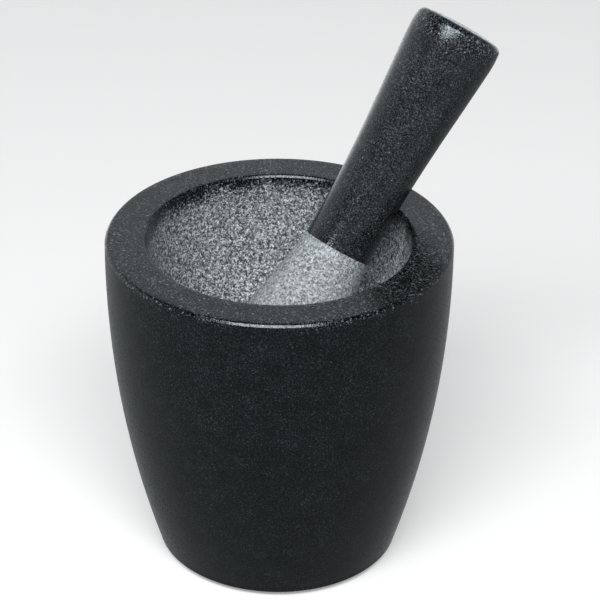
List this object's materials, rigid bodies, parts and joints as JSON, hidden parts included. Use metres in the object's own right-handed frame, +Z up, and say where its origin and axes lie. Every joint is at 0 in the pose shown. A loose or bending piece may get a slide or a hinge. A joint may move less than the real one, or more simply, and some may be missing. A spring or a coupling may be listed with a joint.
{
  "type": "granite mortar and pestle",
  "caption": "Tall polished granite mortar with a rough pecked bowl and a leaning stone pestle, for crushing spices and pastes.",
  "frame": {"origin": "on the mortar's axis, at the underside of its rubber pad, where it stands on the table", "axes": "+Z up along the mortar's axis, -Y towards the front, +X to the right; the pestle leans towards +X and +Y"},
  "size_m": [0.1694, 0.15, 0.2373],
  "materials": {
    "mortar_granite": "polished outside and rim, rough pecked bowl",
    "pestle_granite": "polished handle, rough pale head",
    "pad_rubber": "matte"
  },
  "bodies": {
    "mortar": {"mortar": "mortar_granite", "base_pad": "pad_rubber"},
    "pestle": {"pestle": "pestle_granite"}
  },
  "joints": [
    {"name": "pestle_lift", "type": "slide", "parent": "mortar", "child": "pestle", "axis": [0, 0, 1], "range_m": [0, 0.11]}
  ]
}
